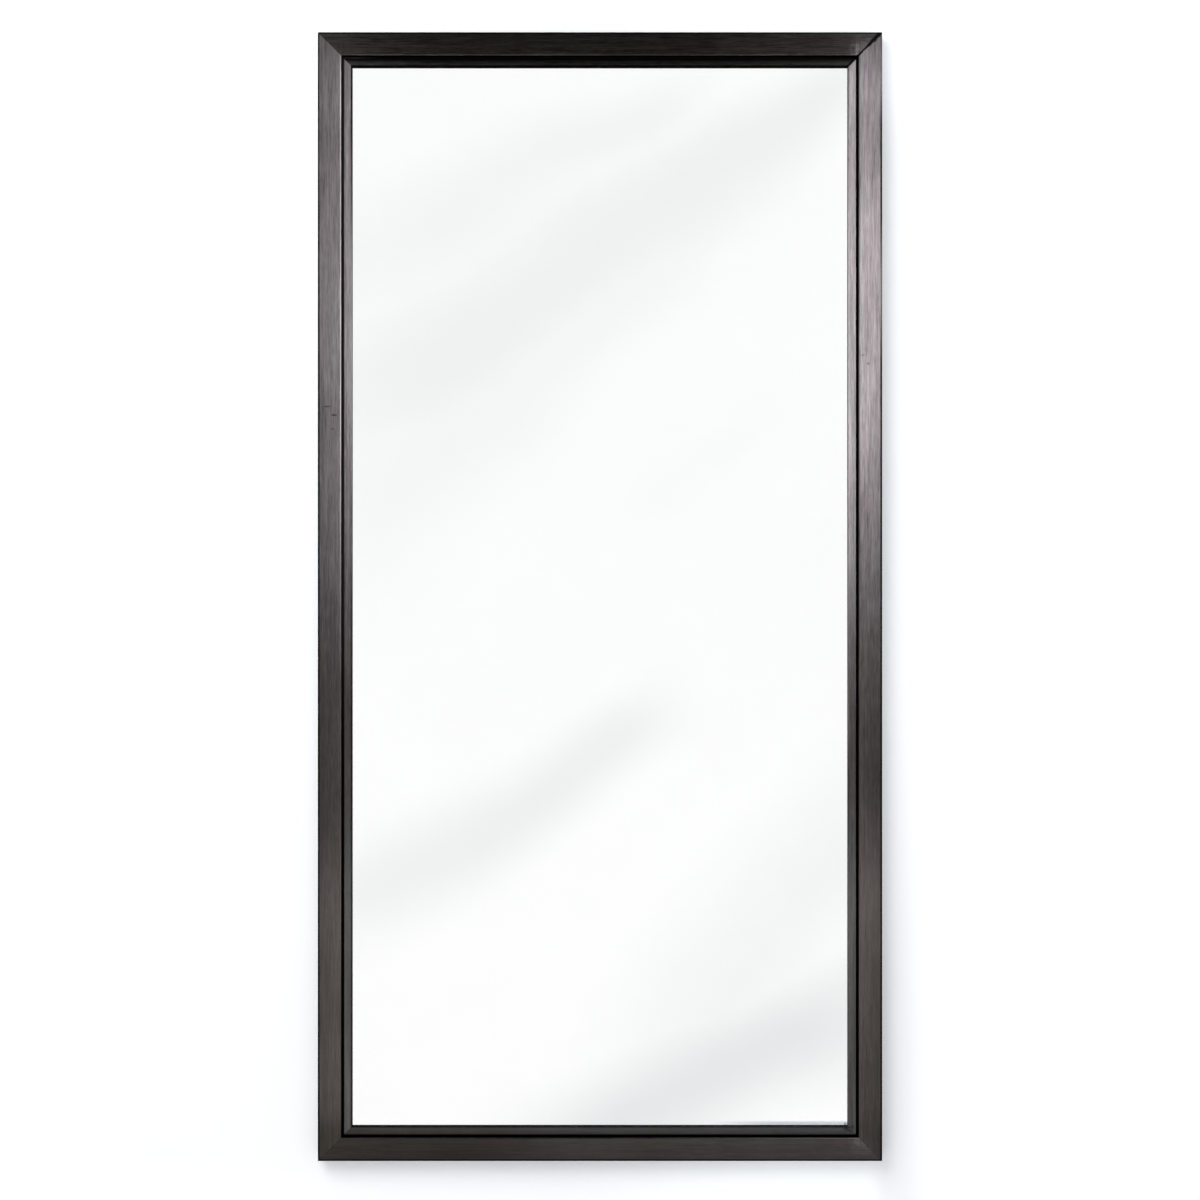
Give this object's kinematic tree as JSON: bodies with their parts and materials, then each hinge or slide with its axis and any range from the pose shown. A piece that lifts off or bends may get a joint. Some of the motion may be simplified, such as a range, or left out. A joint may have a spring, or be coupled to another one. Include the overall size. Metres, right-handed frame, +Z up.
{
  "type": "rectangular mirror",
  "caption": "Tall rectangular wall mirror in a mitred brushed dark steel tube frame, with a shadow gap and a narrow inner steel border.",
  "frame": {"origin": "middle of the mirror's outline, on the wall plane that the rear bumpers touch", "axes": "+Z up, -Y out of the mirror's face, +X to the right as seen from the front"},
  "size_m": [0.9144, 0.0334, 1.8288],
  "materials": {
    "frame_steel": "blackened steel tube, brushed along its length, clear waxed",
    "liner_steel": "blackened steel angle, brushed along its length, clear waxed",
    "reveal_black": "flat black painted steel strip",
    "glazing_tape": "black foam glazing tape",
    "mirror_glass": "clear float glass, ground edges",
    "silver_coat": "silvered back of the glass",
    "safety_film": "woven-backed safety film",
    "foam_sheet": "closed-cell foam sheet",
    "backing_board": "bare brown fibreboard",
    "block_rubber": "black setting rubber",
    "zinc_plate": "zinc-plated pressed steel",
    "washer_nylon": "natural nylon",
    "screw_steel": "black oxide screw steel",
    "ring_wire": "nickel-plated round wire",
    "bumper_rubber": "black moulded rubber"
  },
  "bodies": {
    "root": {"left_stile": "frame_steel", "liner_left": "liner_steel", "reveal_strip_left": "reveal_black", "glazing_tape_left": "glazing_tape", "right_stile": "frame_steel", "liner_right": "liner_steel", "reveal_strip_right": "reveal_black", "glazing_tape_right": "glazing_tape", "top_rail": "frame_steel", "liner_top": "liner_steel", "reveal_strip_top": "reveal_black", "glazing_tape_top": "glazing_tape", "bottom_rail": "frame_steel", "liner_bottom": "liner_steel", "reveal_strip_bottom": "reveal_black", "glazing_tape_bottom": "glazing_tape", "mirror_glass": "mirror_glass", "silver_coat": "silver_coat", "safety_film": "safety_film", "foam_sheet": "foam_sheet", "backing_board": "backing_board", "setting_blocks": "block_rubber", "edge_shims": "block_rubber", "turn_button_washers": "washer_nylon", "turn_button_screws": "screw_steel", "hanger_strap_left": "zinc_plate", "hanger_strap_right": "zinc_plate", "hanger_screws": "screw_steel", "wall_bumper_upper_left": "bumper_rubber", "wall_bumper_upper_right": "bumper_rubber", "wall_bumper_lower_left": "bumper_rubber", "wall_bumper_lower_right": "bumper_rubber", "bumper_screws": "screw_steel", "rivet_nuts": "zinc_plate"},
    "turn_button_left_1_body": {"turn_button_left_1": "zinc_plate"},
    "turn_button_left_2_body": {"turn_button_left_2": "zinc_plate"},
    "turn_button_left_3_body": {"turn_button_left_3": "zinc_plate"},
    "turn_button_left_4_body": {"turn_button_left_4": "zinc_plate"},
    "turn_button_right_1_body": {"turn_button_right_1": "zinc_plate"},
    "turn_button_right_2_body": {"turn_button_right_2": "zinc_plate"},
    "turn_button_right_3_body": {"turn_button_right_3": "zinc_plate"},
    "turn_button_right_4_body": {"turn_button_right_4": "zinc_plate"},
    "turn_button_top_1_body": {"turn_button_top_1": "zinc_plate"},
    "turn_button_top_2_body": {"turn_button_top_2": "zinc_plate"},
    "turn_button_bottom_1_body": {"turn_button_bottom_1": "zinc_plate"},
    "turn_button_bottom_2_body": {"turn_button_bottom_2": "zinc_plate"},
    "hanger_ring_left_body": {"hanger_ring_left": "ring_wire"},
    "hanger_ring_right_body": {"hanger_ring_right": "ring_wire"}
  },
  "joints": [
    {"name": "turn_button_left_1_turn", "type": "hinge", "parent": "root", "child": "turn_button_left_1_body", "pos_m": [-0.4292, -0.00665, 0.73152], "axis": [0, 1, 0], "continuous": true},
    {"name": "turn_button_left_2_turn", "type": "hinge", "parent": "root", "child": "turn_button_left_2_body", "pos_m": [-0.4292, -0.00665, 0.24689], "axis": [0, 1, 0], "continuous": true},
    {"name": "turn_button_left_3_turn", "type": "hinge", "parent": "root", "child": "turn_button_left_3_body", "pos_m": [-0.4292, -0.00665, -0.24689], "axis": [0, 1, 0], "continuous": true},
    {"name": "turn_button_left_4_turn", "type": "hinge", "parent": "root", "child": "turn_button_left_4_body", "pos_m": [-0.4292, -0.00665, -0.73152], "axis": [0, 1, 0], "continuous": true},
    {"name": "turn_button_right_1_turn", "type": "hinge", "parent": "root", "child": "turn_button_right_1_body", "pos_m": [0.4292, -0.00665, -0.73152], "axis": [0, 1, 0], "continuous": true},
    {"name": "turn_button_right_2_turn", "type": "hinge", "parent": "root", "child": "turn_button_right_2_body", "pos_m": [0.4292, -0.00665, -0.24689], "axis": [0, 1, 0], "continuous": true},
    {"name": "turn_button_right_3_turn", "type": "hinge", "parent": "root", "child": "turn_button_right_3_body", "pos_m": [0.4292, -0.00665, 0.24689], "axis": [0, 1, 0], "continuous": true},
    {"name": "turn_button_right_4_turn", "type": "hinge", "parent": "root", "child": "turn_button_right_4_body", "pos_m": [0.4292, -0.00665, 0.73152], "axis": [0, 1, 0], "continuous": true},
    {"name": "turn_button_top_1_turn", "type": "hinge", "parent": "root", "child": "turn_button_top_1_body", "pos_m": [0.2286, -0.00665, 0.8864], "axis": [0, 1, 0], "continuous": true},
    {"name": "turn_button_top_2_turn", "type": "hinge", "parent": "root", "child": "turn_button_top_2_body", "pos_m": [-0.2286, -0.00665, 0.8864], "axis": [0, 1, 0], "continuous": true},
    {"name": "turn_button_bottom_1_turn", "type": "hinge", "parent": "root", "child": "turn_button_bottom_1_body", "pos_m": [-0.2286, -0.00665, -0.8864], "axis": [0, 1, 0], "continuous": true},
    {"name": "turn_button_bottom_2_turn", "type": "hinge", "parent": "root", "child": "turn_button_bottom_2_body", "pos_m": [0.2286, -0.00665, -0.8864], "axis": [0, 1, 0], "continuous": true},
    {"name": "hanger_ring_left_swing", "type": "hinge", "parent": "root", "child": "hanger_ring_left_body", "pos_m": [-0.43815, -0.00475, 0.54864], "axis": [1, 0, 0], "range_deg": [0, 176]},
    {"name": "hanger_ring_right_swing", "type": "hinge", "parent": "root", "child": "hanger_ring_right_body", "pos_m": [0.43815, -0.00475, 0.54864], "axis": [1, 0, 0], "range_deg": [0, 176]}
  ]
}
